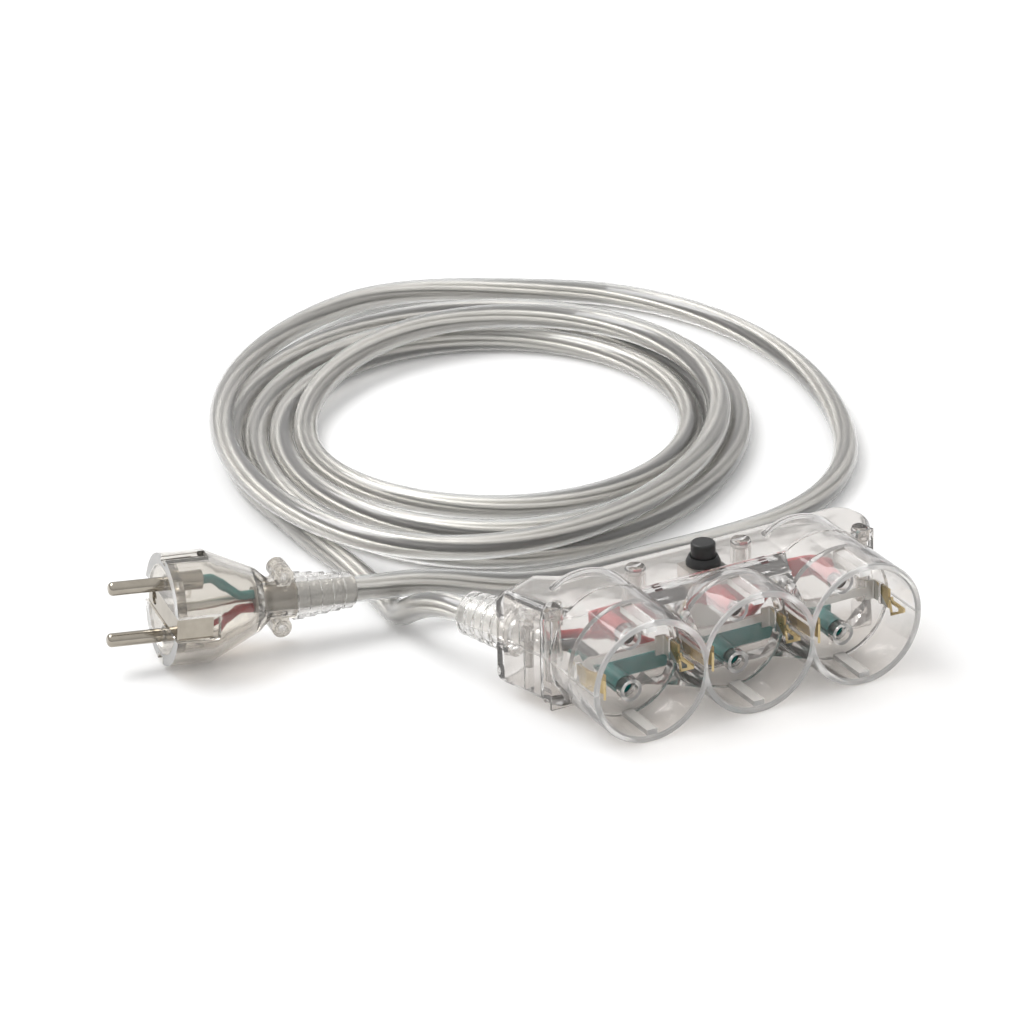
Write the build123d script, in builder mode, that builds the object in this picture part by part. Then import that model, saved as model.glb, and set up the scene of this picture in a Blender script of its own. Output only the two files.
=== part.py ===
"""Three-way extension lead in clear plastic: a block of three two-pin side-earth sockets with a push-to-reset
cut-out, a round plug, and a clear-sheathed cord lying in a loose oval coil between them.

Frame: +X along the socket row away from the cord, -Y the way the sockets face, +Z up (the button's side).
Origin: middle of the block's footprint on the floor. Millimetres.
"""

from build123d import *
import math
import os

os.makedirs("parts", exist_ok=True)

# Socket row
pitch = 41.0
well_radius = 19.7
well_wall = 2.3
well_depth = 17.5
floor_thick = 2.0
floor_ledge = 0.3
foot_flat = 0.3
rib_width = 4.0
rib_height = 2.0
rib_setback = 0.8
rib_root = 0.6
mouth_chamfer = 0.6
rim_round = 0.7
fit_gap = 0.15

# Pins and contacts, shared by the sockets and the plug
pin_spacing = 19.0
pin_radius = 2.4
pin_hole_clearance = 0.3
collar_wall = 1.3
collar_height = 3.0
contact_wall = 1.2
contact_slit = 1.0
rail_height = 6.4
rail_thick = 1.5
rail_overhang = 5.0
rail_gap = 0.3
earth_rail_overhang = 11.0
earth_rail_height = 2.6
rail_joint_offset = 11.0
strap_thick = 0.8
strap_width = 7.0
strap_inset = 1.9
strap_bulge = 3.0
clip_setback = 2.5
loop_length = 10.5
loop_rim = 1.2
window_depth = 10.0
slot_clearance = 0.3

# Block housing
wall = 2.4
mouth_y = -31.0
chamber_setback = 30.5
back_y = 25.0
half_front = 62.5
half_back = 69.0
right_reach = 69.3
chamber_half_height = 17.8
chamber_round = 5.0
lobe_back_gap = 4.0
lobe_round = 7.0
dome_round = 11.0
seam_bead = 0.4
seam_width = 1.0
corner_round = 9.0

# Cord exit at the block's rear corner
exit_degrees = 68.0
exit_width = 18.0
exit_reach_y = 31.0
cord_diameter = 9.0
boot_length = 20.0
boot_root_radius = 8.9
boot_tip_radius = 7.7
boot_spigot_radius = 6.5
boot_flange_radius = 8.4
boot_flange_thick = 2.0
boot_rings = 5
boot_groove = 1.2
cord_end_inside = 17.5

# Screws
screw_radius = 1.5
screw_head_radius = 2.9
screw_head_height = 2.2
screw_recess = 4.0
screw_clearance = 0.3
boss_radius = 3.6
screw_engagement = 9.0
screw_row_y = 16.0
screw_end_y = 3.2
screw_wall_inset = 4.2

# Cut-out with its reset button
button_edge_gap = 0.2
case_width = 14.0
case_depth = 10.0
case_height = 22.0
case_gap = 0.3
blade_length = 8.0
blade_width = 5.0
blade_spread = 4.0
button_radius = 4.2
button_height = 8.0
button_travel = 2.0
button_gap = 0.3
button_shank_radius = 2.5
button_shank_length = 9.0
collar_nut_height = 3.0
collar_nut_base = 5.9
collar_nut_top = 5.0
bushing_stand = 0.4

# Wires
wire_radius = 1.6
core_offset = 2.4
wire_bend = 4.0
wire_room = 6.0
wire_step = 1.0
wire_drop = 5.8

# Cord grip over the cord's end in the block
grip_width = 5.0
grip_height = 5.0
grip_cap = 2.2
grip_end = 1.6
grip_post_gap = 0.2
grip_screw_radius = 1.25
grip_head_radius = 1.9
grip_post_radius = 1.9
grip_setback = 13.0
grip_room = 0.5

# Plug
plug_radius = 19.3
plug_wall = 3.8
plug_barrel = 15.0
plug_taper_end = 33.0
plug_neck_radius = 11.0
plug_collar_start = 37.0
plug_collar_end = 46.0
plug_collar_radius = 7.5
plug_face_thick = 4.0
plug_groove_width = 5.0
plug_groove_depth = 2.4
pin_length = 19.0
pin_tip_round = 1.6
pin_root_radius = 2.0
pin_shoulder = 0.3
terminal_radius = 3.2
terminal_length = 9.0
plug_strap_width = 8.0
plug_strap_recess = 1.3
plug_notch_depth = 3.0
plug_strap_tail = 13.0
earth_hole_radius = 2.5
earth_hole_offset = 10.0
ear_radius = 3.5
ear_offset = 9.5
ear_length = 9.0
ear_screw_radius = 1.4
plug_boot_length = 22.0
plug_boot_root = 8.2
plug_boot_tip = 6.2
plug_cord_inside = 31.0
plug_lift_degrees = 4.0
plug_heading_degrees = 171.0
plug_tail_point = (-87.6, 92.6)
floor_gap = 0.1

# Coil, an oval that lies on the floor behind the block
coil_centre = (30.2, 209.6)
coil_turn_degrees = -31.0
coil_shift = 6.0
coil_half_wide = 103.0
coil_half_long = 124.0
coil_hole_half_wide = 69.0
coil_hole_half_long = 72.0
coil_height = 17.0
coil_round = 5.0

# Places worked out from the sizes above
cord_radius = cord_diameter / 2
grip_screw_offset = cord_radius + grip_post_radius + grip_post_gap
cup_radius = well_radius + well_wall
axis_z = cup_radius - foot_flat
floor_y = mouth_y + well_depth
floor_back_y = floor_y + floor_thick
chamber_y = mouth_y + chamber_setback
inside_y = chamber_y + wall
inside_half_height = chamber_half_height - wall
panel_z = axis_z + chamber_half_height
ceiling_z = axis_z + inside_half_height
bottom_z = axis_z - inside_half_height
button_y = chamber_y + seam_width / 2 + collar_nut_base + button_edge_gap
case_y = inside_y + case_gap + case_depth / 2
rail_y = inside_y - rail_gap - rail_thick
window_y = inside_y - window_depth
window_half = pin_spacing / 2 + max(rail_height / 2, pin_radius + contact_wall) + rail_gap
strap_base_y = window_y + strap_thick / 2
earth_rail_y = window_y + strap_thick
pin_offset = pin_spacing / 2
contact_bore = pin_radius
contact_radius = contact_bore + contact_wall
sockets = {"left": -pitch, "middle": 0.0, "right": pitch}

exit_turn = math.radians(exit_degrees)
exit_way = Vector(-math.cos(exit_turn), math.sin(exit_turn), 0)
exit_across = Vector(math.sin(exit_turn), math.cos(exit_turn), 0)
up = Vector(0, 0, 1)
exit_x = -half_back + exit_across.X * exit_width / 2
exit_y = exit_reach_y - exit_across.Y * exit_width / 2
exit_point = Vector(exit_x, exit_y, axis_z)
exit_plane = Plane(origin=exit_point, x_dir=exit_across, z_dir=exit_way)
exit_section = Plane(origin=exit_point, x_dir=up, z_dir=up.cross(exit_way))
cord_end_point = exit_point - exit_way * cord_end_inside

lift = math.radians(plug_lift_degrees)
heading = math.radians(plug_heading_degrees)
plug_way = Vector(math.cos(heading) * math.cos(lift), math.sin(heading) * math.cos(lift), math.sin(lift))
plug_side = Vector(math.sin(heading), -math.cos(heading), 0)
plug_up = plug_way.cross(plug_side)
if plug_up.Z < 0:
    plug_side = plug_side * -1
    plug_up = plug_up * -1
plug_length = plug_collar_end + plug_boot_length
plug_z = plug_radius * math.cos(lift) + plug_barrel * math.sin(lift) + floor_gap
plug_tail = Vector(plug_tail_point[0], plug_tail_point[1], plug_z - plug_length * math.sin(lift))
plug_origin = plug_tail + plug_way * plug_length
plug_face_plane = Plane(origin=plug_origin, x_dir=plug_side, z_dir=plug_way)
plug_section = Plane(origin=plug_origin, x_dir=plug_up, z_dir=plug_up.cross(plug_way))
plug_axis = Axis(plug_origin, plug_way)
plug_inner = plug_radius - plug_wall


def at_y(y):
    """Sketch plane across the row at this y; a positive extrusion comes forward, towards -Y."""
    return Plane.XZ.offset(-y)


def in_plug(side, rise, along):
    """Point in the plug: sideways, up along the pin line, and forward from the face."""
    return plug_origin + plug_side * side + plug_up * rise + plug_way * along


def save(piece, name):
    piece.part.label = name
    export_step(piece.part, f"parts/{name}.step")


def wire_along(points, bend):
    """Round wire swept along straight runs with equal bends."""
    with BuildPart() as wire:
        with BuildLine() as path:
            FilletPolyline(*points, radius=bend)
        with BuildSketch(Plane(origin=path.line @ 0, z_dir=path.line % 0)):
            Circle(wire_radius)
        sweep()
    return wire


# Rear chamber of the block, outside and inside
with BuildSketch(Plane.XY.offset(axis_z)) as chamber_plan:
    tip_back = exit_point + exit_across * exit_width / 2
    tip_side = exit_point - exit_across * exit_width / 2
    knee = (tip_back.X + exit_width / 2, back_y)
    shoulder = (right_reach, (chamber_y + back_y) / 2)
    rear_corner = (right_reach - 3, back_y)
    with BuildLine():
        Polyline(
            (-half_front, chamber_y),
            (half_front, chamber_y),
            shoulder,
            rear_corner,
            knee,
            (tip_back.X, tip_back.Y),
            (tip_side.X, tip_side.Y),
            close=True,
        )
    make_face()
    for spot, bend in ((rear_corner, corner_round), (shoulder, corner_round), (knee, corner_round)):
        fillet(chamber_plan.vertices().sort_by_distance((*spot, axis_z))[0], bend)

with BuildPart() as chamber:
    add(chamber_plan.sketch)
    extrude(amount=chamber_half_height, both=True)
    for end in (-1, 0):
        rim = chamber.faces().sort_by(Axis.Z)[end].edges().sort_by(Axis.Y)
        fillet(rim[1:], chamber_round)

with BuildPart() as chamber_hollow:
    with BuildSketch(Plane.XY.offset(axis_z)):
        add(chamber_plan.sketch)
        offset(amount=-wall, kind=Kind.INTERSECTION)
    extrude(amount=inside_half_height, both=True)


def lobe(radius, front, back, round_radius):
    """Barrel lying along Y with a rounded back end, about the left socket's axis."""
    with BuildPart() as barrel:
        with BuildSketch(Plane.XY.offset(axis_z)) as half:
            with BuildLine():
                Polyline(
                    (-pitch, front), (-pitch + radius, front), (-pitch + radius, back), (-pitch, back), close=True
                )
            make_face()
            fillet(half.vertices().sort_by_distance((-pitch + radius, back, axis_z))[0], round_radius)
            fillet(half.vertices().sort_by_distance((-pitch + radius, front, axis_z))[0], rim_round)
        revolve(axis=Axis((-pitch, 0, axis_z), (0, 1, 0)))
    return barrel.part


lobe_back = back_y - lobe_back_gap
bore_radius = well_radius - floor_ledge
lobe_outside = lobe(cup_radius, mouth_y, lobe_back, lobe_round)
lobe_inside = lobe(bore_radius, floor_y, lobe_back - wall, lobe_round - wall)
dome_outside = lobe(cup_radius, mouth_y, chamber_y, dome_round)
dome_inside = lobe(bore_radius, floor_y, chamber_y - wall, dome_round - wall)
to_middle = Location((pitch, 0, 0))
to_right = Location((2 * pitch, 0, 0))

# Saddle that fills the notches between the barrels and slopes up to the chamber's front edge
notch_half = math.sqrt(cup_radius**2 - (pitch / 2) ** 2)
with BuildPart() as saddle:
    with BuildSketch(Plane.YZ):
        with BuildLine():
            Polyline(
                (mouth_y + rim_round, axis_z - notch_half),
                (chamber_y, axis_z - chamber_half_height),
                (chamber_y, axis_z + chamber_half_height),
                (mouth_y + rim_round, axis_z + notch_half),
                close=True,
            )
        make_face()
    extrude(amount=pitch, both=True)

# Whole housing before it is parted at the socket axes
with BuildPart() as housing:
    add(chamber.part)
    add(saddle.part)
    add([lobe_outside, dome_outside.moved(to_middle), lobe_outside.moved(to_right)])
    with BuildSketch(at_y(chamber_y + seam_width / 2)):
        with Locations((-pitch, axis_z), (pitch, axis_z)):
            Circle(cup_radius + seam_bead)
        with Locations((0, axis_z)):
            Rectangle(2 * half_front, 2 * (chamber_half_height + seam_bead))
    extrude(amount=seam_width)
    add(chamber_hollow.part, mode=Mode.SUBTRACT)
    add([lobe_inside, dome_inside.moved(to_middle), lobe_inside.moved(to_right)], mode=Mode.SUBTRACT)
    with BuildSketch(at_y(inside_y)):
        with Locations((0, axis_z)):
            Rectangle(2 * pitch, 2 * window_half)
    extrude(amount=window_depth, mode=Mode.SUBTRACT)
    for back, length, radius in (
        (floor_y, well_depth, well_radius),
        (floor_back_y + fit_gap, floor_thick + fit_gap, well_radius + floor_ledge),
    ):
        with BuildSketch(at_y(back)):
            with Locations(*[(x, axis_z) for x in sockets.values()]):
                Circle(radius)
        extrude(amount=length, mode=Mode.SUBTRACT)
    with BuildSketch(at_y(mouth_y)):
        with Locations(*[(x, axis_z) for x in sockets.values()]):
            Circle(well_radius + mouth_chamfer)
    extrude(amount=-mouth_chamfer, taper=45, mode=Mode.SUBTRACT)
    rib_middle = well_radius + rib_root / 2 - rib_height / 2
    with BuildSketch(at_y(floor_y)):
        for x in sockets.values():
            with Locations((x, axis_z + rib_middle), (x, axis_z - rib_middle)):
                Rectangle(rib_width, rib_height + rib_root)
    extrude(amount=well_depth - rib_setback)
    with BuildSketch(exit_plane):
        Circle(boot_spigot_radius + fit_gap)
    extrude(amount=-cord_end_inside, mode=Mode.SUBTRACT)
    with BuildSketch(exit_plane.offset(-wall + fit_gap)):
        Circle(boot_flange_radius + fit_gap)
    extrude(amount=-boot_flange_thick - 2 * fit_gap, mode=Mode.SUBTRACT)
    split(bisect_by=Plane.XY)

left_lean = (half_back - half_front) * (screw_end_y - chamber_y) / (tip_side.Y - chamber_y)
right_lean = (right_reach - half_front) * (screw_end_y - chamber_y) / (shoulder[1] - chamber_y)
screw_spots = [
    (-half_front - left_lean + screw_wall_inset, screw_end_y),
    (-pitch / 2, screw_row_y),
    (pitch / 2, screw_row_y),
    (half_front + right_lean - screw_wall_inset, screw_end_y),
]
post_spots = [(-pitch / 2, 0), (pitch / 2, 0)]
grip_centre = exit_point - exit_way * grip_setback
grip_spots = [grip_centre + exit_across * grip_screw_offset * hand for hand in (-1, 1)]
grip_low = axis_z + cord_radius - (grip_height - grip_cap)
post_side = 3.0

# Room for the cord grip and its screw heads, cut from both halves before the grip's posts are added
grip_half = grip_screw_offset + max(grip_end, grip_head_radius) + grip_room
grip_deep = max(grip_width, 2 * grip_post_radius) + 2 * grip_room
grip_tall = grip_low - axis_z + grip_height + screw_head_height + grip_room
with BuildPart() as grip_space:
    with BuildSketch(Plane(origin=(grip_centre.X, grip_centre.Y, axis_z), x_dir=exit_across, z_dir=up)):
        Rectangle(2 * grip_half, grip_deep)
    extrude(amount=grip_tall)

with BuildPart() as housing_top:
    add(housing.part)
    split(bisect_by=Plane.XY.offset(axis_z + fit_gap / 2))
    with BuildSketch(Plane.XY.offset(axis_z + fit_gap / 2)):
        with Locations(*screw_spots):
            Circle(boss_radius)
    extrude(amount=chamber_half_height - wall / 2)
    with BuildSketch(Plane.XY.offset(axis_z + pin_offset + rail_height / 2)):
        with Locations(*[(x, rail_y + rail_thick / 2) for x, _ in post_spots]):
            Rectangle(post_side, rail_thick)
    extrude(amount=window_half - pin_offset - rail_height / 2 + rail_gap)
    add(grip_space.part, mode=Mode.SUBTRACT)
    with BuildSketch(Plane.XY.offset(axis_z)):
        with Locations(*screw_spots):
            Circle(screw_radius + screw_clearance)
    extrude(amount=cup_radius, mode=Mode.SUBTRACT)
    with BuildSketch(Plane.XY.offset(panel_z - screw_recess)):
        with Locations(*screw_spots):
            Circle(screw_head_radius + screw_clearance)
    extrude(amount=cup_radius, mode=Mode.SUBTRACT)
    with BuildSketch(Plane.XY.offset(ceiling_z - 1)):
        with Locations((0, button_y)):
            Circle(button_radius + button_gap)
    extrude(amount=cup_radius, mode=Mode.SUBTRACT)
save(housing_top, "housing_top")

with BuildPart() as housing_base:
    add(housing.part)
    split(bisect_by=Plane.XY.offset(axis_z - fit_gap / 2), keep=Keep.BOTTOM)
    with BuildSketch(Plane.XY.offset(axis_z - fit_gap / 2)):
        with Locations(*screw_spots):
            Circle(boss_radius)
    extrude(amount=-chamber_half_height + wall / 2)
    with BuildSketch(Plane.XY.offset(axis_z - pin_offset - rail_height / 2)):
        with Locations(*[(x, rail_y + rail_thick / 2) for x, _ in post_spots]):
            Rectangle(post_side, rail_thick)
    extrude(amount=pin_offset + rail_height / 2 - window_half - rail_gap)
    with BuildSketch(Plane.XY.offset(axis_z - earth_rail_height / 2)):
        with Locations(*[(x, earth_rail_y + strap_thick / 2) for x, _ in post_spots]):
            Rectangle(post_side, strap_thick)
    extrude(amount=earth_rail_height / 2 - window_half - rail_gap)
    add(grip_space.part, mode=Mode.SUBTRACT)
    with BuildSketch(Plane.XY.offset(bottom_z - wall / 2)):
        with Locations(*[(spot.X, spot.Y) for spot in grip_spots]):
            Circle(grip_post_radius)
    extrude(amount=grip_low - bottom_z + wall / 2)
    with BuildSketch(Plane.XY.offset(axis_z)):
        with Locations(*screw_spots):
            Circle(screw_radius)
    extrude(amount=-screw_engagement, mode=Mode.SUBTRACT)
    with BuildSketch(Plane.XY.offset(grip_low)):
        with Locations(*[(spot.X, spot.Y) for spot in grip_spots]):
            Circle(grip_screw_radius)
    extrude(amount=-screw_engagement, mode=Mode.SUBTRACT)
save(housing_base, "housing_base")

# Screws that close the block, one node of separate screws
with BuildPart() as housing_screws:
    with BuildSketch(Plane.XY.offset(axis_z - screw_engagement)):
        with Locations(*screw_spots):
            Circle(screw_radius)
    extrude(amount=panel_z - screw_recess - axis_z + screw_engagement)
    with BuildSketch(Plane.XY.offset(panel_z - screw_recess)):
        with Locations(*screw_spots):
            Circle(screw_head_radius)
    extrude(amount=screw_head_height)
    with BuildSketch(Plane.XY.offset(panel_z - screw_recess + screw_head_height)):
        with Locations(*screw_spots):
            Rectangle(2 * screw_head_radius - 1.4, 0.9)
            Rectangle(0.9, 2 * screw_head_radius - 1.4)
    extrude(amount=-screw_head_height / 2, mode=Mode.SUBTRACT)
save(housing_screws, "housing_screws")

# Clear floor of each well, with collared pin holes and slots for the earth clips
clip_x = well_radius - strap_inset - strap_thick / 2
for side, x in sockets.items():
    holes = [(x, axis_z + pin_offset), (x, axis_z - pin_offset)]
    with BuildPart() as socket_floor:
        with BuildSketch(at_y(floor_back_y)):
            with Locations((x, axis_z)):
                Circle(well_radius + floor_ledge - fit_gap)
            with Locations((x - clip_x, axis_z), (x + clip_x, axis_z)):
                Rectangle(
                    strap_thick + 2 * slot_clearance, strap_width + 2 * slot_clearance, mode=Mode.SUBTRACT
                )
        extrude(amount=floor_thick)
        with BuildSketch(at_y(floor_y)):
            with Locations(*holes):
                Circle(pin_radius + pin_hole_clearance + collar_wall)
        extrude(amount=collar_height)
        with BuildSketch(at_y(floor_back_y)):
            with Locations(*holes):
                Circle(pin_radius + pin_hole_clearance)
        extrude(amount=floor_thick + collar_height, mode=Mode.SUBTRACT)
    save(socket_floor, f"socket_floor_{side}")

# Earth clip of each well: one folded strip with a sprung bulge on both sides
clip_front_y = mouth_y + clip_setback
for side, x in sockets.items():
    arm = [
        (clip_x - 0.6, clip_front_y),
        (clip_x - strap_bulge, clip_front_y + 4.0),
        (clip_x, clip_front_y + 10.5),
        (clip_x, strap_base_y),
    ]
    outline = [(x - px, py, axis_z) for px, py in arm] + [(x + px, py, axis_z) for px, py in reversed(arm)]
    with BuildPart() as earth_clip:
        with BuildLine() as path:
            FilletPolyline(*outline, radius=1.0)
        with BuildSketch(Plane(origin=path.line @ 0, x_dir=(0, 0, 1), z_dir=path.line % 0)):
            Rectangle(strap_width, strap_thick)
        sweep()
        with BuildSketch(Plane.YZ.offset(x + clip_x - strap_bulge - 1)):
            with Locations((clip_front_y + loop_length / 2 - 1, axis_z)):
                Rectangle(loop_length + 2, strap_width + 1)
            for half_wide, half_long, way in (
                (strap_width / 2, loop_length / 2, Mode.SUBTRACT),
                (strap_width / 2 - loop_rim, loop_length / 2 - 1.4 * loop_rim, Mode.ADD),
            ):
                middle = clip_front_y + loop_length / 2
                with BuildLine():
                    Polyline(
                        (middle - half_long, axis_z - loop_rim / 2),
                        (middle, axis_z - half_wide),
                        (middle + half_long, axis_z - loop_rim / 2),
                        (middle + half_long, axis_z + loop_rim / 2),
                        (middle, axis_z + half_wide),
                        (middle - half_long, axis_z + loop_rim / 2),
                        close=True,
                    )
                make_face(mode=way)
        extrude(amount=strap_bulge + 2, mode=Mode.SUBTRACT)
        with BuildSketch(at_y(window_y + strap_thick)):
            for hand in (-1, 1):
                with Locations((x, axis_z + hand * (strap_width + earth_rail_height) / 4)):
                    Rectangle(2 * (clip_x - strap_width / 2), (strap_width - earth_rail_height) / 2)
        extrude(amount=strap_thick, mode=Mode.SUBTRACT)
    save(earth_clip, f"earth_clip_{side}")

# Rails behind the wells
rail_half = pitch + rail_overhang
with BuildPart() as earth_rail:
    with BuildSketch(at_y(earth_rail_y + strap_thick)):
        with Locations((0, axis_z)):
            Rectangle(2 * (pitch + earth_rail_overhang), earth_rail_height)
    extrude(amount=strap_thick)
save(earth_rail, "earth_rail")

for name, z in (("line_rail", axis_z + pin_offset), ("neutral_rail", axis_z - pin_offset)):
    spots = [(x, z) for x in sockets.values()]
    with BuildPart() as rail:
        with BuildSketch(at_y(rail_y + rail_thick)):
            with Locations((0, z)):
                Rectangle(2 * rail_half, rail_height)
        extrude(amount=rail_thick)
        with BuildSketch(at_y(rail_y)):
            with Locations(*spots):
                Circle(contact_radius)
        extrude(amount=rail_y - floor_back_y)
        with BuildSketch(at_y(rail_y)):
            with Locations(*spots):
                Circle(contact_bore)
        extrude(amount=rail_y - floor_back_y, mode=Mode.SUBTRACT)
        with BuildSketch(at_y(rail_y - rail_thick)):
            with Locations(*spots):
                Rectangle(2 * contact_radius, contact_slit)
        extrude(amount=rail_y - floor_back_y, mode=Mode.SUBTRACT)
    save(rail, name)

# Cut-out: case with its bushing, ring nut, blades and the reset button
with BuildPart() as cut_out_case:
    with BuildSketch(Plane.XY.offset(ceiling_z - case_height)):
        with Locations((0, case_y)):
            RectangleRounded(case_width, case_depth, 1.2)
    extrude(amount=case_height)
    with BuildSketch(Plane.XY.offset(ceiling_z)):
        with Locations((0, button_y)):
            Circle(button_radius + button_gap)
    extrude(amount=wall + bushing_stand)
    bore_depth = wall + button_shank_length
    with BuildSketch(Plane.XY.offset(panel_z + bushing_stand)):
        with Locations((0, button_y)):
            Circle(button_shank_radius + button_gap)
    extrude(amount=-bore_depth, mode=Mode.SUBTRACT)
save(cut_out_case, "cut_out_case")

with BuildPart() as cut_out_nut:
    with BuildSketch(Plane.XZ.offset(-button_y)):
        with BuildLine():
            Polyline(
                (button_radius + button_gap, panel_z),
                (collar_nut_base, panel_z),
                (collar_nut_base, panel_z + collar_nut_height / 3),
                (collar_nut_top, panel_z + collar_nut_height),
                (button_radius + button_gap, panel_z + collar_nut_height),
                close=True,
            )
        make_face()
    revolve(axis=Axis((0, button_y, 0), (0, 0, 1)))
save(cut_out_nut, "cut_out_nut")

blade_top = ceiling_z - case_height
with BuildPart() as cut_out_blades:
    with BuildSketch(Plane.XY.offset(blade_top)):
        with Locations((-blade_spread, case_y), (blade_spread, case_y)):
            Rectangle(strap_thick, blade_width)
    extrude(amount=-blade_length)
save(cut_out_blades, "cut_out_blades")

cap_low = panel_z + bushing_stand + button_travel + button_gap
with BuildPart() as reset_button:
    with BuildSketch(Plane.XY.offset(cap_low)):
        with Locations((0, button_y)):
            Circle(button_radius)
    extrude(amount=panel_z + button_height - cap_low)
    fillet(reset_button.faces().sort_by(Axis.Z)[-1].edges(), 0.8)
    with BuildSketch(Plane.XY.offset(cap_low)):
        with Locations((0, button_y)):
            Circle(button_shank_radius)
    extrude(amount=-button_shank_length)
save(reset_button, "reset_button")

# Wires inside the block
blade_z = blade_top - blade_length / 2
line_start = cord_end_point + up * core_offset
neutral_start = cord_end_point + exit_across * core_offset * 0.87 - up * core_offset / 2
earth_start = cord_end_point - exit_across * core_offset * 0.87 - up * core_offset / 2
blade_x = blade_spread + strap_thick / 2

wire_line_in = wire_along(
    [
        line_start,
        line_start - exit_way * wire_step,
        (-pitch + 10, case_y + 2, axis_z - 1.5),
        (-blade_x - 9, case_y, blade_z),
        (-blade_x, case_y, blade_z),
    ],
    wire_step,
)
save(wire_line_in, "wire_line_in")

line_joint_x = pitch - rail_joint_offset
wire_line_out = wire_along(
    [
        (blade_x, case_y, blade_z),
        (blade_x + 8, case_y, blade_z),
        (line_joint_x - 5, case_y + 0.5, axis_z),
        (line_joint_x, case_y + 0.5, axis_z + pin_offset),
        (line_joint_x, rail_y + rail_thick, axis_z + pin_offset),
    ],
    wire_bend - 1,
)
save(wire_line_out, "wire_line_out")

neutral_joint_x = -pitch - 2
wire_neutral = wire_along(
    [
        neutral_start,
        neutral_start - exit_way * wire_step,
        (neutral_joint_x - 1.5, case_y, axis_z - pin_offset + 2),
        (neutral_joint_x, rail_y + rail_thick + 2.5, axis_z - pin_offset),
        (neutral_joint_x, rail_y + rail_thick, axis_z - pin_offset),
    ],
    wire_step,
)
save(wire_neutral, "wire_neutral")

earth_joint_x = screw_spots[0][0] + boss_radius + wire_radius + wire_room
wire_earth = wire_along(
    [
        earth_start,
        earth_start - exit_way * wire_step,
        (cord_end_point.X + wire_room, cord_end_point.Y - wire_drop, axis_z),
        (earth_joint_x, earth_rail_y + 6, axis_z),
        (earth_joint_x, earth_rail_y + strap_thick, axis_z),
    ],
    wire_step,
)
save(wire_earth, "wire_earth")


def ribbed_boot(section, way, start, length, root, tip, inner_steps):
    """Ringed cord sleeve turned about its cord; inner_steps are its radii and depths inside the housing."""
    start = start + fit_gap
    length = length - fit_gap
    step = length / boot_rings
    inner_radius = cord_radius + fit_gap
    outline = [(inner_radius, start - max([depth for _, depth in inner_steps], default=0))]
    for index in reversed(range(len(inner_steps))):
        radius, depth = inner_steps[index]
        shallow = inner_steps[index - 1][1] if index else 0
        outline.append((radius, start - depth))
        outline.append((radius, start - shallow))
    for ring in range(boot_rings):
        radius = root + (tip - root) * ring / (boot_rings - 1)
        outline.append((radius, start + ring * step))
        outline.append((radius, start + (ring + 0.66) * step))
        if ring < boot_rings - 1:
            outline.append((radius - boot_groove, start + (ring + 0.7) * step))
            outline.append((radius - boot_groove, start + (ring + 1) * step))
    outline.append((tip - boot_groove, start + length))
    outline.append((inner_radius, start + length))
    with BuildPart() as boot:
        with BuildSketch(section):
            with BuildLine():
                Polyline(*outline, close=True)
            make_face()
        revolve(axis=Axis(section.origin, way))
    return boot


block_boot = ribbed_boot(
    exit_section,
    exit_way,
    0,
    boot_length,
    boot_root_radius,
    boot_tip_radius,
    [(boot_spigot_radius, wall), (boot_flange_radius, wall + boot_flange_thick)],
)
save(block_boot, "block_boot")

with BuildPart() as block_cord_end:
    with BuildSketch(exit_plane.offset(-cord_end_inside)):
        Circle(cord_radius)
    extrude(amount=cord_end_inside + boot_length)
save(block_cord_end, "block_cord_end")

# Grip that holds the cord's end down in the block
grip_plane = Plane(origin=grip_centre, x_dir=exit_across * -1, z_dir=exit_way)
with BuildPart() as cord_grip:
    with BuildSketch(grip_plane.offset(-grip_width / 2)):
        with Locations((0, grip_low - axis_z + grip_height / 2)):
            Rectangle(2 * (grip_screw_offset + grip_end), grip_height)
        Circle(cord_radius, mode=Mode.SUBTRACT)
    extrude(amount=grip_width)
    with BuildSketch(Plane.XY.offset(grip_low)):
        with Locations(*[(spot.X, spot.Y) for spot in grip_spots]):
            Circle(grip_screw_radius)
    extrude(amount=grip_height, mode=Mode.SUBTRACT)
save(cord_grip, "cord_grip")

with BuildPart() as cord_grip_screws:
    with BuildSketch(Plane.XY.offset(grip_low - screw_engagement)):
        with Locations(*[(spot.X, spot.Y) for spot in grip_spots]):
            Circle(grip_screw_radius)
    extrude(amount=screw_engagement + grip_height)
    with BuildSketch(Plane.XY.offset(grip_low + grip_height)):
        with Locations(*[(spot.X, spot.Y) for spot in grip_spots]):
            Circle(grip_head_radius)
    extrude(amount=screw_head_height)
save(cord_grip_screws, "cord_grip_screws")

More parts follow.
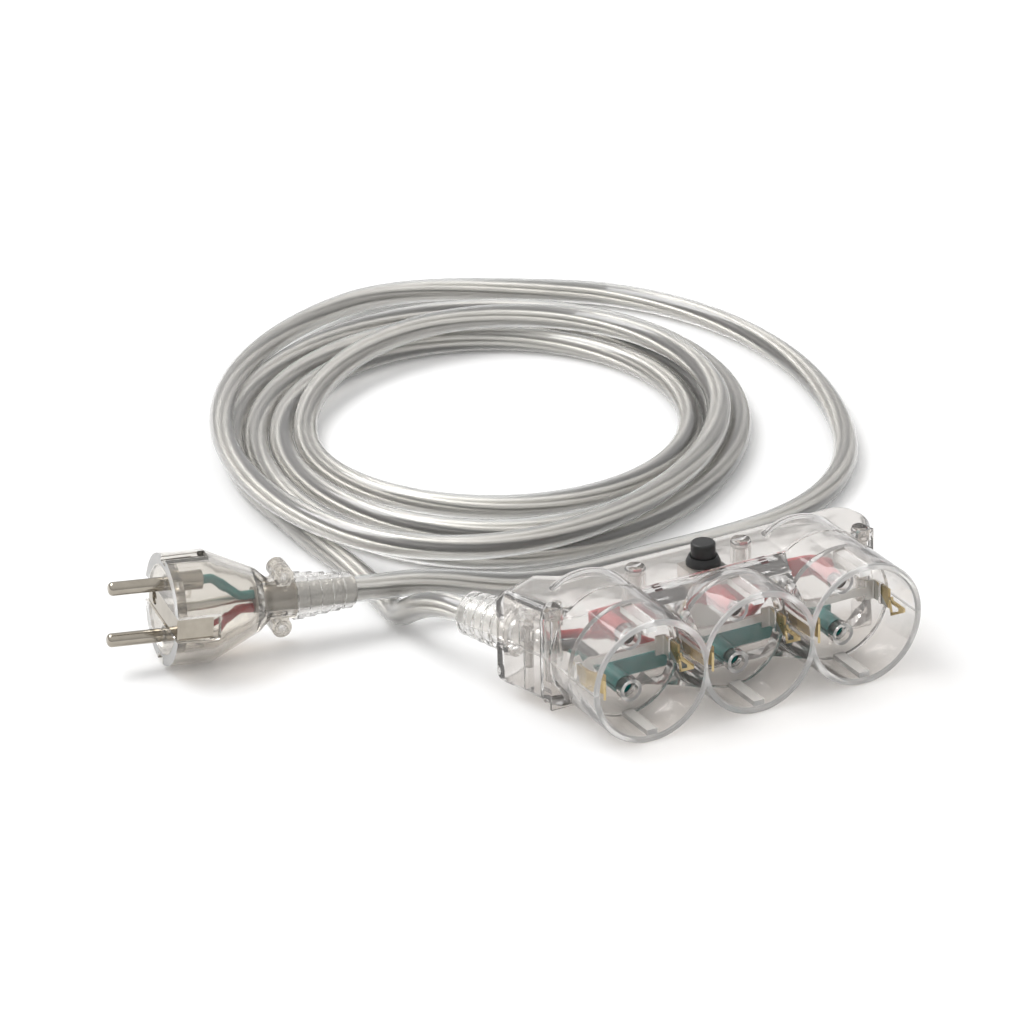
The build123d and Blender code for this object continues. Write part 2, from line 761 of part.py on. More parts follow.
# Plug casing, turned whole and then parted along the pin line
with BuildPart() as plug_casing:
    with BuildSketch(plug_section):
        with BuildLine():
            Polyline(
                (plug_inner, 0),
                (plug_radius, 0),
                (plug_radius, -plug_barrel),
                (plug_neck_radius, -plug_taper_end),
                (plug_collar_radius, -plug_collar_start),
                (plug_collar_radius, -plug_collar_end),
                (cord_radius + fit_gap, -plug_collar_end),
                (cord_radius + fit_gap, -plug_taper_end),
                (plug_neck_radius - wall, -plug_taper_end + wall),
                (plug_inner, -plug_barrel),
                close=True,
            )
        make_face()
    revolve(axis=plug_axis)
    ears = Plane(origin=in_plug(0, 0, -(plug_collar_start + plug_collar_end) / 2), x_dir=plug_up, z_dir=plug_side)
    with BuildSketch(ears.offset(-ear_length / 2)):
        with Locations((ear_offset, 0), (-ear_offset, 0)):
            Circle(ear_radius)
        for hand in (1, -1):
            with Locations((hand * (ear_offset + cord_radius + 1) / 2, 0)):
                Rectangle(ear_offset - cord_radius - 1, 1.4 * ear_radius)
    extrude(amount=ear_length)
    with BuildSketch(ears.offset(-ear_length / 2)):
        with Locations((ear_offset, 0), (-ear_offset, 0)):
            Circle(ear_screw_radius)
    extrude(amount=ear_length, mode=Mode.SUBTRACT)
    with BuildSketch(plug_face_plane):
        groove_middle = plug_radius - plug_groove_depth / 2 + 0.5
        with Locations((0, groove_middle), (0, -groove_middle)):
            Rectangle(plug_groove_width, plug_groove_depth + 1)
        notch_middle = plug_radius - plug_notch_depth / 2 + 0.5
        with Locations((notch_middle, 0), (-notch_middle, 0)):
            Rectangle(plug_notch_depth + 1, plug_strap_width + 2 * slot_clearance)
    extrude(amount=-plug_barrel, mode=Mode.SUBTRACT)
    with BuildSketch(plug_face_plane):
        Rectangle(2 * plug_radius, plug_strap_width + 2 * slot_clearance)
    extrude(amount=-plug_strap_recess, mode=Mode.SUBTRACT)

plug_parting = Plane(origin=plug_origin, x_dir=plug_up, z_dir=plug_side)
for name, keep, hand in (("plug_shell_near", Keep.TOP, 1), ("plug_shell_far", Keep.BOTTOM, -1)):
    with BuildPart() as plug_shell:
        add(plug_casing.part)
        split(bisect_by=plug_parting.offset(hand * fit_gap / 2), keep=keep)
    save(plug_shell, name)

with BuildPart() as plug_face:
    with BuildSketch(plug_face_plane):
        Circle(plug_inner - fit_gap)
        with Locations((0, pin_offset), (0, -pin_offset)):
            Circle(pin_root_radius, mode=Mode.SUBTRACT)
        Circle(wire_radius, mode=Mode.SUBTRACT)
        with Locations((-earth_hole_offset, 0)):
            Circle(earth_hole_radius, mode=Mode.SUBTRACT)
    extrude(amount=-plug_face_thick)
    with BuildSketch(plug_face_plane):
        Rectangle(2 * plug_radius, plug_strap_width + 2 * slot_clearance)
    extrude(amount=-plug_strap_recess, mode=Mode.SUBTRACT)
save(plug_face, "plug_face")

for name, rise in (("plug_pin_line", -pin_offset), ("plug_pin_neutral", pin_offset)):
    with BuildPart() as plug_pin:
        with BuildSketch(plug_face_plane.offset(-plug_face_thick)):
            with Locations((0, rise)):
                Circle(pin_root_radius)
        extrude(amount=plug_face_thick + pin_shoulder)
        with BuildSketch(plug_face_plane.offset(pin_shoulder)):
            with Locations((0, rise)):
                Circle(pin_radius)
        extrude(amount=pin_length - pin_shoulder)
        fillet(plug_pin.faces().sort_by(plug_axis)[-1].edges(), pin_tip_round)
        with BuildSketch(plug_face_plane.offset(-plug_face_thick)):
            with Locations((0, rise)):
                Circle(terminal_radius)
        extrude(amount=-terminal_length)
    save(plug_pin, name)

strap_side = plug_radius - plug_notch_depth + strap_thick / 2
strap_front = -plug_strap_recess + strap_thick / 2
with BuildPart() as plug_earth_strap:
    with BuildLine() as path:
        FilletPolyline(
            in_plug(-strap_side, 0, -plug_strap_tail),
            in_plug(-strap_side, 0, strap_front),
            in_plug(strap_side, 0, strap_front),
            in_plug(strap_side, 0, -plug_strap_tail),
            radius=0.45,
        )
    with BuildSketch(Plane(origin=path.line @ 0, x_dir=plug_up, z_dir=path.line % 0)):
        Rectangle(plug_strap_width, strap_thick)
    sweep()
    with BuildSketch(plug_face_plane):
        with Locations((-earth_hole_offset, 0)):
            Circle(earth_hole_radius)
    extrude(amount=-plug_strap_recess, mode=Mode.SUBTRACT)
save(plug_earth_strap, "plug_earth_strap")

terminal_end = plug_face_thick + terminal_length
for name, rise in (("plug_wire_line", -1), ("plug_wire_neutral", 1)):
    plug_wire = wire_along(
        [
            in_plug(0, rise * pin_offset, -terminal_end),
            in_plug(0, rise * pin_offset, -terminal_end - 4),
            in_plug(0.8, rise * core_offset, -plug_cord_inside + 5),
            in_plug(0.8, rise * core_offset, -plug_cord_inside),
        ],
        wire_bend,
    )
    save(plug_wire, name)

plug_wire_earth = wire_along(
    [
        in_plug(0, 0, -plug_strap_recess),
        in_plug(0, 0, -terminal_end),
        in_plug(-core_offset, 0, -plug_cord_inside + 5),
        in_plug(-core_offset, 0, -plug_cord_inside),
    ],
    wire_bend,
)
save(plug_wire_earth, "plug_wire_earth")

with BuildPart() as plug_screws:
    with BuildSketch(ears.offset(-ear_length / 2)):
        with Locations((ear_offset, 0), (-ear_offset, 0)):
            Circle(ear_screw_radius)
    extrude(amount=ear_length)
    with BuildSketch(ears.offset(ear_length / 2)):
        with Locations((ear_offset, 0), (-ear_offset, 0)):
            Circle(ear_radius - 0.8)
    extrude(amount=1.4)
save(plug_screws, "plug_screws")

plug_boot = ribbed_boot(
    Plane(origin=plug_origin, x_dir=plug_up, z_dir=plug_up.cross(plug_way * -1)),
    plug_way * -1,
    plug_collar_end,
    plug_boot_length,
    plug_boot_root,
    plug_boot_tip,
    [],
)
save(plug_boot, "plug_boot")

with BuildPart() as plug_cord_end:
    with BuildSketch(plug_face_plane.offset(-plug_length)):
        Circle(cord_radius)
    extrude(amount=plug_length - plug_cord_inside)
save(plug_cord_end, "plug_cord_end")

# Cord: two free stretches and the coil between them
block_tail = exit_point + exit_way * boot_length
floor_z = cord_radius
block_route = [
    block_tail,
    block_tail + exit_way * 6,
    (-72.5, 58.3, 20.7),
    (-74.1, 65.7, 17.9),
    (-74.7, 73.6, 13.2),
    (-74.4, 81.5, 8.0),
    (-73.3, 89.8, 5.1),
    (-71.8, 99.1, 4.6),
    (-70.5, 109.5, floor_z),
    (-69.7, 122.5, floor_z),
    (-69.9, 137.5, floor_z),
    (-71.1, 154.4, floor_z),
    (-71.7, 172.4, floor_z),
    (-71.0, 190.4, floor_z),
]
plug_route = [
    plug_tail,
    plug_tail - plug_way * 10,
    (-67.4, 89.4, 14.6),
    (-56.4, 87.6, 13.0),
    (-44.0, 85.9, 9.8),
    (-31.0, 84.4, 6.7),
    (-17.0, 83.3, 4.9),
    (-2.0, 82.6, floor_z),
    (25.0, 83.0, floor_z),
    (54.0, 82.4, floor_z),
    (82.0, 86.0, floor_z),
    (107.0, 98.5, floor_z),
    (127.0, 119.0, floor_z),
    (140.9, 145.4, floor_z),
    (150.4, 174.7, floor_z),
    (154.9, 203.5, floor_z),
    (154.0, 233.0, floor_z),
    (147.2, 260.6, floor_z),
    (134.7, 284.4, floor_z),
    (117.4, 304.2, floor_z),
    (96.1, 319.3, floor_z),
]
for name, route in (("cord_block_lead", block_route), ("cord_plug_lead", plug_route)):
    points = [Vector(point) for point in route]
    radii = []
    for before, here, after in zip(points, points[1:], points[2:]):
        turn = (here - before).get_angle(after - here)
        shorter = min((here - before).length, (after - here).length)
        radii.append(0.45 * shorter / math.tan(math.radians(turn) / 2))
    with BuildPart() as lead:
        with BuildLine() as path:
            FilletPolyline(*points, radius=radii)
        with BuildSketch(Plane(origin=path.line @ 0, z_dir=path.line % 0)):
            Circle(cord_radius)
        sweep()
    length = sum(edge.length for edge in path.edges())
    section_volume = math.pi * cord_radius**2 * length
    print(name, "length", round(length, 1), "radii", [round(radius) for radius in radii])
    print(name, "volume / section times length", round(lead.part.volume / section_volume, 4))
    save(lead, name)

coil_turn = math.radians(coil_turn_degrees)
coil_plane = Plane(
    origin=(coil_centre[0], coil_centre[1], 0), x_dir=(math.cos(coil_turn), math.sin(coil_turn), 0), z_dir=(0, 0, 1)
)
with BuildPart() as cord_coil:
    with BuildSketch(coil_plane):
        with Locations((0, coil_shift)):
            Ellipse(coil_half_wide, coil_half_long)
            Ellipse(coil_hole_half_wide, coil_hole_half_long, mode=Mode.SUBTRACT)
    extrude(amount=coil_height)
    fillet(cord_coil.faces().sort_by(Axis.Z)[-1].edges(), coil_round)
save(cord_coil, "cord_coil")
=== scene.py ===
# %% [markdown]
# # A clear three-way extension lead
# The lead is a block of three sockets, a round plug and a few metres of cord, all in clear plastic, so
# what shows is the metal and the wires inside. The imported CAD model comes in first. It gives every piece
# its size and place.

import math

import bpy
from mathutils import Matrix, Vector


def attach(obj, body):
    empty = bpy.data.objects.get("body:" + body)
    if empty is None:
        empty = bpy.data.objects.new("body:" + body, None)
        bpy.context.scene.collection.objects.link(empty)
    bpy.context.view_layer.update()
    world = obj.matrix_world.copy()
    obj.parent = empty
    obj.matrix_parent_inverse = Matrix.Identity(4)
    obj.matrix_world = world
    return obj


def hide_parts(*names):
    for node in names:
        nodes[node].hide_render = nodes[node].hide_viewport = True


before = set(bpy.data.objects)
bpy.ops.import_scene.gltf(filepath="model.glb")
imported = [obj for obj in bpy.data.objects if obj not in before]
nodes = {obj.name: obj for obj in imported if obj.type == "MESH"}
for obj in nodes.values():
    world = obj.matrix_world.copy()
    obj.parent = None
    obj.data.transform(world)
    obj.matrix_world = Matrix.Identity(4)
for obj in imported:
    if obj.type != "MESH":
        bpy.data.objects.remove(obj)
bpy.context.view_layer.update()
MM = 0.001

# %% [markdown]
# ## Camera
# The photograph looks down at the lead from in front and to the left, from a good distance with a long
# lens, so that lines which are parallel on the block stay nearly parallel in the picture. The camera is
# placed on the line of sight to the block's front, then turned a little to the left and up, so that the
# coil sits in the frame as it does there.

# %% Camera
view_turn = math.radians(31.03)
view_drop = math.radians(27.0)
view_distance = 2.0
aim_left = 0.04131
aim_up = 0.03317
sensor_mm = 36
lens_mm = 211.6
well_mouth = -31.0

block_front = Vector((0, well_mouth * MM, 0))
level = Vector((math.sin(view_turn), math.cos(view_turn), 0))
right = Vector((math.cos(view_turn), -math.sin(view_turn), 0))
straight = level * math.cos(view_drop) - Vector((0, 0, math.sin(view_drop)))
above = right.cross(straight)
look = (straight - aim_left * right + aim_up * above).normalized()
side = (right - look * right.dot(look)).normalized()

camera_data = bpy.data.cameras.new("camera")
camera_data.sensor_width = sensor_mm
camera_data.lens = lens_mm
camera = bpy.data.objects.new("camera", camera_data)
bpy.context.scene.collection.objects.link(camera)
turned = Matrix((side, side.cross(look), -look)).transposed().to_4x4()
camera.matrix_world = Matrix.Translation(block_front - straight * view_distance) @ turned
bpy.context.scene.camera = camera
print("camera at", [round(value, 3) for value in camera.location])

# %% [markdown]
# ## Cord
# A cord is one soft length, so it is one curve, and its points are the route that it takes. The two ends
# are lists: from the block's boot down to the floor, and from the plug down to the floor, passing over
# the block's end on the way. The turns between them are worked out in a loop. Three turns close inwards
# on the floor, and the last one climbs on top of them and comes out again.

# %% Two ends of the cord, in millimetres
FLOOR = 4.5
block_route = [
    (-68.15, 46.17, 21.7), (-70.4, 51.7, 21.7), (-72.5, 58.3, 20.7), (-74.1, 65.7, 17.9),
    (-74.7, 73.6, 13.2), (-74.4, 81.5, 8.0), (-73.3, 89.8, 5.1), (-71.8, 99.1, 4.6),
    (-70.5, 109.5, FLOOR), (-69.7, 122.5, FLOOR), (-69.9, 137.5, FLOOR), (-71.1, 154.4, FLOOR),
]
plug_route = [
    (-87.6, 92.6, 15.66), (-77.75, 91.04, 14.96), (-67.4, 89.4, 14.6), (-56.4, 87.6, 13.0),
    (-44.0, 85.9, 9.8), (-31.0, 84.4, 6.7), (-17.0, 83.3, 4.9), (-2.0, 82.6, FLOOR),
    (25.0, 83.0, FLOOR), (54.0, 82.4, FLOOR), (82.0, 86.0, FLOOR), (107.0, 98.5, FLOOR),
    (127.0, 119.0, FLOOR), (140.9, 145.4, FLOOR), (150.4, 174.7, FLOOR), (154.9, 203.5, FLOOR),
    (154.0, 233.0, FLOOR), (147.2, 260.6, FLOOR), (134.7, 284.4, FLOOR), (117.4, 304.2, FLOOR),
    (96.1, 319.3, FLOOR),
]
print("route points: block end", len(block_route), "plug end", len(plug_route))

# %% Turns of the coil
POINTS_A_TURN = 16
FULL_TURN = 360
coil_middle = Vector((30.2, 209.6))
across = Vector((0.857, -0.515))
along = Vector((0.515, 0.857))
first_angle = 226.0
turns = 4.31
floor_turns = 3.15
closing_step = 0.375
last_spread = 1.35
half_across = 73.5
half_along = 77.0
band_across = 24.5
band_along = 37.0
far_stretch = 13.0
near_stretch = 18.0
near_stretch_from = 0.5
upper_layer = 8.8
climb_early = 0.05
climb_turns = 0.2
descent_turns = 0.3

coil_route = []
steps = round(turns * POINTS_A_TURN)
for step in range(steps + 1):
    done = turns * step / steps
    angle = math.radians(first_angle - FULL_TURN * done)
    outward = max(0.0, (done - floor_turns) / (turns - floor_turns))
    closing = 1 - closing_step * min(done, floor_turns)
    spread = closing + (last_spread - closing) * outward
    near_side = max(0.0, -math.sin(angle)) if done > near_stretch_from else 0.0
    half_wide = half_across + band_across * spread
    half_long = half_along + band_along * spread
    half_long += far_stretch * outward**2 + near_stretch * spread * near_side
    spot = coil_middle + across * half_wide * math.cos(angle) + along * half_long * math.sin(angle)
    climbed = min(1.0, max(0.0, (done - floor_turns + climb_early) / climb_turns))
    climbed *= min(1.0, (turns - done) / descent_turns)
    coil_route.append((spot.x, spot.y, FLOOR + upper_layer * climbed))
cord_route = block_route + coil_route + plug_route[-2::-1]
print("coil points:", len(coil_route))

# %% [markdown]
# A NURBS spline of order 3 only leans towards its points, which rounds every bend by itself. A curve's
# thickness is its bevel times the radius of each point. Blender's box round a curve grows by that radius,
# so the points hold the cord's real radius and the bevel is a full metre.

# %% Cord as one curve
CORD_RADIUS = 4.5 * MM
FULL_BEVEL = 1.0
CORD_NODES = ("cord_block_lead", "cord_coil", "cord_plug_lead")

cord_data = bpy.data.curves.new("cord", "CURVE")
cord_data.dimensions = "3D"
cord_line = cord_data.splines.new("NURBS")
cord_line.points.add(len(cord_route) - 1)
for point, spot in zip(cord_line.points, cord_route):
    point.co = (*[value * MM for value in spot], 1)
    point.radius = CORD_RADIUS
cord_line.order_u = 3
cord_line.use_endpoint_u = True
cord_line.resolution_u = 12
cord_data.bevel_depth = FULL_BEVEL
cord_data.bevel_resolution = 5
cord_data.use_fill_caps = True
cord = bpy.data.objects.new("cord", cord_data)
bpy.context.scene.collection.objects.link(cord)
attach(cord, "lead")
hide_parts(*CORD_NODES)
print("cord is", round(cord_line.calc_length(), 3), "m long from", len(cord_route), "points")

# %% [markdown]
# ## Cores in the cord
# The sheath is clear, so the cord's silvery look comes from the tinned copper strands inside it. Six
# strands lie round a middle one and make a slow turn every third of a metre. They follow the cord's own
# smooth line: the curve without its thickness gives the points, and each strand circles them. Bright
# strands and grey strands with painted shade take turns, and one strand is darker still. The sheath works
# as a lens that widens them into the light and dark streaks that run along the real cord.

# %% Middle line of the cord
cord_data.bevel_depth = 0
bpy.context.view_layer.update()
centre_line = bpy.data.meshes.new_from_object(cord)
middle = [vertex.co.copy() for vertex in centre_line.vertices]
bpy.data.meshes.remove(centre_line)
cord_data.bevel_depth = FULL_BEVEL
print("middle line has", len(middle), "points")

# %% Twisted cores
CORES_ROUND = 6
core_offset = 1.7 * MM
core_radius = 0.82 * MM
twist_length = 330 * MM


def core(name, phase, offset):
    """One core that winds round the cord's middle line."""
    data = bpy.data.curves.new(name, "CURVE")
    data.dimensions = "3D"
    line = data.splines.new("POLY")
    line.points.add(len(middle) - 1)
    out = (middle[1] - middle[0]).normalized().orthogonal().normalized()
    travelled = 0.0
    for place, spot in enumerate(middle):
        ahead = middle[min(place + 1, len(middle) - 1)] - middle[max(place - 1, 0)]
        out = (out - ahead * out.dot(ahead) / ahead.length_squared).normalized()
        aside = ahead.normalized().cross(out)
        if place:
            travelled += (spot - middle[place - 1]).length
        turn = phase + 2 * math.pi * travelled / twist_length
        point = line.points[place]
        point.co = (*(spot + offset * (out * math.cos(turn) + aside * math.sin(turn))), 1)
        point.radius = core_radius
    data.bevel_depth = FULL_BEVEL
    data.bevel_resolution = 2
    data.use_fill_caps = True
    strand = bpy.data.objects.new(name, data)
    bpy.context.scene.collection.objects.link(strand)
    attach(strand, "lead")
    return strand


cores = [core("cord_core_middle", 0.0, 0.0)]
for place in range(CORES_ROUND):
    cores.append(core(f"cord_core_{place + 1}", 2 * math.pi * place / CORES_ROUND, core_offset))
print("cores:", [strand.name for strand in cores])

# %% [markdown]
# ## Studio
# The photograph was taken on white paper under a large soft lamp. A wide plane stands for the paper and a
# world that is bright overhead and greyer towards the horizon for the room: clear plastic shows itself
# only by what it bends and reflects, so an evenly white room would make it vanish. The paper gives off
# the little light that it lacks to be white, for the camera and for what is seen in plastic or metal, and
# keeps the shadow.


# %% Helpers for colours and nodes
def linear(code):
    """sRGB hex code as the linear colour that a shader takes."""
    parts = [int(code[place : place + 2], 16) / 255 for place in (1, 3, 5)]
    return (*[part / 12.92 if part <= 0.04045 else ((part + 0.055) / 1.055) ** 2.4 for part in parts], 1)


def node(tree, kind, settings=None, **inputs):
    """Adds a node; settings are its own options, inputs are values or the sockets that feed it."""
    made = tree.nodes.new(kind)
    for option, value in (settings or {}).items():
        setattr(made, option, value)
    for name, value in inputs.items():
        key = int(name[1:]) if name.startswith("_") else name.replace("_", " ")
        if isinstance(value, bpy.types.NodeSocket):
            tree.links.new(value, made.inputs[key])
        else:
            made.inputs[key].default_value = value
    return made


def material(name):
    """Empty material, its tree and its output node."""
    made = bpy.data.materials.new(name)
    made.use_nodes = True
    made.node_tree.nodes.clear()
    return made, made.node_tree, made.node_tree.nodes.new("ShaderNodeOutputMaterial")


# %% Paper floor
paper_side = 12
paper_drop = 0.0002
paper_glow = 0.05

bpy.context.scene.view_settings.view_transform = "Standard"
bpy.ops.object.select_all(action="DESELECT")
bpy.ops.mesh.primitive_plane_add(size=paper_side, location=(0, 0, -paper_drop))
floor = bpy.context.active_object
floor.name = "floor"
paper, tree, out = material("white_paper")
matt = node(tree, "ShaderNodeBsdfDiffuse", Color=linear("#e6e6e6"))
rays = node(tree, "ShaderNodeLightPath").outputs
larger = {"operation": "MAXIMUM"}
seen = node(tree, "ShaderNodeMath", larger, _0=rays["Is Camera Ray"], _1=rays["Is Glossy Ray"])
seen = node(tree, "ShaderNodeMath", larger, _0=seen.outputs[0], _1=rays["Is Transmission Ray"])
fill = node(tree, "ShaderNodeMath", {"operation": "MULTIPLY"}, _0=seen.outputs[0], _1=paper_glow)
glow = node(tree, "ShaderNodeEmission", Color=(1, 1, 1, 1), Strength=fill.outputs[0])
both = node(tree, "ShaderNodeAddShader", _0=matt.outputs[0], _1=glow.outputs[0])
tree.links.new(both.outputs[0], out.inputs[0])
floor.data.materials.append(paper)
print("floor of", paper.name, paper_side, "m wide")

# %% Room light
horizon_grey = 0.6
white_from_height = 0.75
room_strength = 0.95

world = bpy.data.worlds.new("studio")
bpy.context.scene.world = world
world.use_nodes = True
tree = world.node_tree
tree.nodes.clear()
coords = node(tree, "ShaderNodeTexCoord")
parts = node(tree, "ShaderNodeSeparateXYZ", Vector=coords.outputs["Generated"])
ramp = node(tree, "ShaderNodeValToRGB", Fac=parts.outputs["Z"])
ramp.color_ramp.elements[0].color = (horizon_grey, horizon_grey, horizon_grey, 1)
ramp.color_ramp.elements[1].color = (1, 1, 1, 1)
ramp.color_ramp.elements[1].position = white_from_height
sky = node(tree, "ShaderNodeBackground", Color=ramp.outputs[0], Strength=room_strength)
world_out = tree.nodes.new("ShaderNodeOutputWorld")
tree.links.new(sky.outputs[0], world_out.inputs[0])
print("room light:", world.name, "from grey", horizon_grey, "at the horizon to white overhead")

# %% Soft lamp
LIGHT_BOUNCES = 28
lamp_aim = Vector((0, 0.1, 0))

lamp_data = bpy.data.lights.new("soft_lamp", "AREA")
lamp_data.shape = "RECTANGLE"
lamp_data.size = 1.4
lamp_data.size_y = 0.9
lamp_data.energy = 26
lamp = bpy.data.objects.new("soft_lamp", lamp_data)
bpy.context.scene.collection.objects.link(lamp)
lamp.location = (-0.7, 0.9, 1.6)
lamp.rotation_euler = (lamp_aim - lamp.location).to_track_quat("-Z", "Y").to_euler()
# Light passes many clear walls before it leaves the block, so it may bounce more often than usual.
bpy.context.scene.cycles.max_bounces = LIGHT_BOUNCES
bpy.context.scene.cycles.transmission_bounces = LIGHT_BOUNCES
bpy.context.scene.cycles.transparent_max_bounces = LIGHT_BOUNCES
print("soft lamp of", lamp_data.energy, "W")

# %% [markdown]
# ## Clear plastics
# The shells are injection-moulded clear polycarbonate: glossy, very slightly warm, with faint flow waves
# from the mould that make the things behind swim a little. The boots and the cord's sheath are soft clear
# PVC, less smooth. Both are the Principled shader with most of its weight on transmission, and the small
# rest scatters like the haze in real plastic. Glass shaders stop lamp light, so shadow rays pass through
# as if the wall were a pale filter, and what is inside stays lit.


# %% How a clear plastic is made
def clear_plastic(name, tint, filter_tint, roughness, wave_mm, wave_depth, clearness, bending, gloss=0.0):
    """Clear moulded plastic; wave_mm is the spacing of its flow waves, wave_depth their bump in mm."""
    made, tree, out = material(name)
    place = node(tree, "ShaderNodeTexCoord").outputs["Object"]
    waves = node(tree, "ShaderNodeTexNoise", Vector=place, Scale=1 / (wave_mm * MM), Detail=1.0)
    bump = node(tree, "ShaderNodeBump", Strength=1.0, Distance=wave_depth * MM, Height=waves.outputs["Fac"])
    body = node(
        tree,
        "ShaderNodeBsdfPrincipled",
        Base_Color=linear(tint),
        Roughness=roughness,
        IOR=bending,
        Transmission_Weight=clearness,
        Coat_Weight=gloss,
        Normal=bump.outputs[0],
    )
    shadow = node(tree, "ShaderNodeLightPath").outputs["Is Shadow Ray"]
    passing = node(tree, "ShaderNodeBsdfTransparent", Color=linear(filter_tint))
    mixed = node(tree, "ShaderNodeMixShader", _0=shadow, _1=body.outputs[0], _2=passing.outputs[0])
    tree.links.new(mixed.outputs[0], out.inputs[0])
    return made


# %% Clear plastics
# Block shells: hard and glossy, almost without colour.
clear_shell = clear_plastic(
    "clear_polycarbonate", tint="#f0eeec", filter_tint="#e6e4e2", roughness=0.06,
    wave_mm=8.0, wave_depth=0.12, clearness=0.955, bending=1.44,
)
# Plug: the same plastic in thicker walls, which look a little greyer and warmer.
clear_plug = clear_plastic(
    "clear_plug_plastic", tint="#e7e4df", filter_tint="#dfdbd6", roughness=0.06,
    wave_mm=8.0, wave_depth=0.12, clearness=0.955, bending=1.44,
)
# Well floors: thin plates that hide little of the contacts behind them.
clear_floor = clear_plastic(
    "clear_polycarbonate_floor", tint="#f4f3f2", filter_tint="#eae8e6", roughness=0.08,
    wave_mm=7.0, wave_depth=0.05, clearness=0.96, bending=1.40,
)
# Boots: soft plastic with a slightly dull skin.
clear_boot = clear_plastic(
    "clear_soft_pvc", tint="#f5f4f2", filter_tint="#e8e6e4", roughness=0.09,
    wave_mm=5.0, wave_depth=0.05, clearness=0.92, bending=1.40,
)
# Sheath: it blurs the cores inside into streaks, and a gloss on top keeps its highlights sharp.
clear_sheath = clear_plastic(
    "clear_cord_sheath", tint="#f6f6f5", filter_tint="#d7d6d4", roughness=0.4,
    wave_mm=14.0, wave_depth=0.05, clearness=0.94, bending=1.5, gloss=1.0,
)
# Edges: the same plastic, whiter and scattering more, as a painted highlight where rounded edges gather
# light.
painted_edge_highlight = clear_plastic(
    "clear_plastic_painted_highlight", tint="#f8f8f7", filter_tint="#e4e2e0", roughness=0.26,
    wave_mm=4.0, wave_depth=0.03, clearness=0.68, bending=1.42,
)
print("clear plastics: shell, plug, floor, boot, sheath, edge")

# %% [markdown]
# ## Metals, insulation and the button
# The earth clips are stamped brass, the earth rail and the cut-out's blades zinc-plated steel, the pins and
# the plug's earth strap nickel plate and the cores tinned copper. Wires have coloured PVC insulation, and
# the button and its ring nut are black moulded plastic with the fine spark-eroded grain that such parts
# have. All of them are one shader whose grain shifts colour, roughness and height a little.


# %% How a grained finish is made
def grained(name, colour, dark_colour, roughness, swing, grain_mm, bump_mm, detail, metallic):
    """Opaque finish; its grain is grain_mm wide, and swing is the share by which it changes the roughness."""
    made, tree, out = material(name)
    place = node(tree, "ShaderNodeTexCoord").outputs["Object"]
    noise = node(tree, "ShaderNodeTexNoise", Vector=place, Scale=1 / (grain_mm * MM), Detail=detail)
    grain = noise.outputs["Fac"]
    blend = {"data_type": "RGBA"}
    tint = node(tree, "ShaderNodeMix", blend, _0=grain, _6=linear(dark_colour), _7=linear(colour))
    dullest = roughness * (1 + swing)
    glossiest = roughness * (1 - swing)
    gloss = node(tree, "ShaderNodeMapRange", Value=grain, To_Min=glossiest, To_Max=dullest)
    bump = node(tree, "ShaderNodeBump", Strength=1.0, Distance=bump_mm * MM, Height=grain)
    body = node(
        tree,
        "ShaderNodeBsdfPrincipled",
        Base_Color=tint.outputs[2],
        Metallic=metallic,
        Roughness=gloss.outputs[0],
        Normal=bump.outputs[0],
    )
    tree.links.new(body.outputs[0], out.inputs[0])
    return made


def metal(name, colour, dark_colour, roughness, grain_mm, bump_mm):
    """Metal with a fairly rough grain."""
    return grained(name, colour, dark_colour, roughness, 0.3, grain_mm, bump_mm, 3.0, 1.0)


def plastic(name, colour, dark_colour, roughness, grain_mm, bump_mm):
    """Opaque moulded plastic with a soft grain."""
    return grained(name, colour, dark_colour, roughness, 0.2, grain_mm, bump_mm, 2.0, 0.0)


# %% Metals
# Stamped brass: pale gold with dull, rolled faces.
brass = metal("stamped_brass", "#d6c49c", "#ad986c", roughness=0.3, grain_mm=2.5, bump_mm=0.01)
# Nickel plate: bright and slightly warm, with sharp reflections.
nickel = metal("nickel_plate", "#b3aca0", "#968f84", roughness=0.12, grain_mm=4.0, bump_mm=0.004)
# Zinc plate: pale grey and satin.
zinc = metal("zinc_plated_steel", "#dcdbd8", "#c2c1be", roughness=0.4, grain_mm=1.5, bump_mm=0.01)
# Tinned copper: the bright strands have the metal's own silvery colour. The grey strands are the same metal
# with painted shade, and one strand is darker still.
tinned = metal("tinned_copper_strand", "#e6e3dd", "#ccc9c3", roughness=0.4, grain_mm=6.0, bump_mm=0.02)
# Painted shade: this grey strand finish is tinned copper darkened to stand for strands in shade.
shaded_tinned = metal("shaded_tinned_strand", "#b2afa9", "#8f8c87", roughness=0.42, grain_mm=6.0, bump_mm=0.02)
dark_tinned = metal("dark_tinned_strand", "#6a6764", "#494744", roughness=0.42, grain_mm=6.0, bump_mm=0.02)
print("metals: brass, nickel, zinc, three tinned strands")

# %% Insulation and black plastic
# PVC insulation: full colours with a soft sheen.
red_sleeve = plastic("red_pvc_insulation", "#b4101e", "#8c0816", roughness=0.35, grain_mm=6.0, bump_mm=0.02)
teal_sleeve = plastic("teal_pvc_insulation", "#008684", "#00645f", roughness=0.35, grain_mm=6.0, bump_mm=0.02)
black_sleeve = plastic(
    "black_pvc_insulation", "#262424", "#171616", roughness=0.4, grain_mm=6.0, bump_mm=0.02
)
# Button and ring nut: dull black; the grain is drawn coarser than the real one so that it shows.
black_grained = plastic(
    "black_grained_plastic", "#242424", "#151515", roughness=0.42, grain_mm=0.5, bump_mm=0.02
)
# Cut-out case: off-white, hardly glossy.
milky = plastic("milky_plastic", "#e9e6e2", "#dcd8d3", roughness=0.4, grain_mm=8.0, bump_mm=0.02)
print("plastics: red, teal and black insulation, black grained, milky")

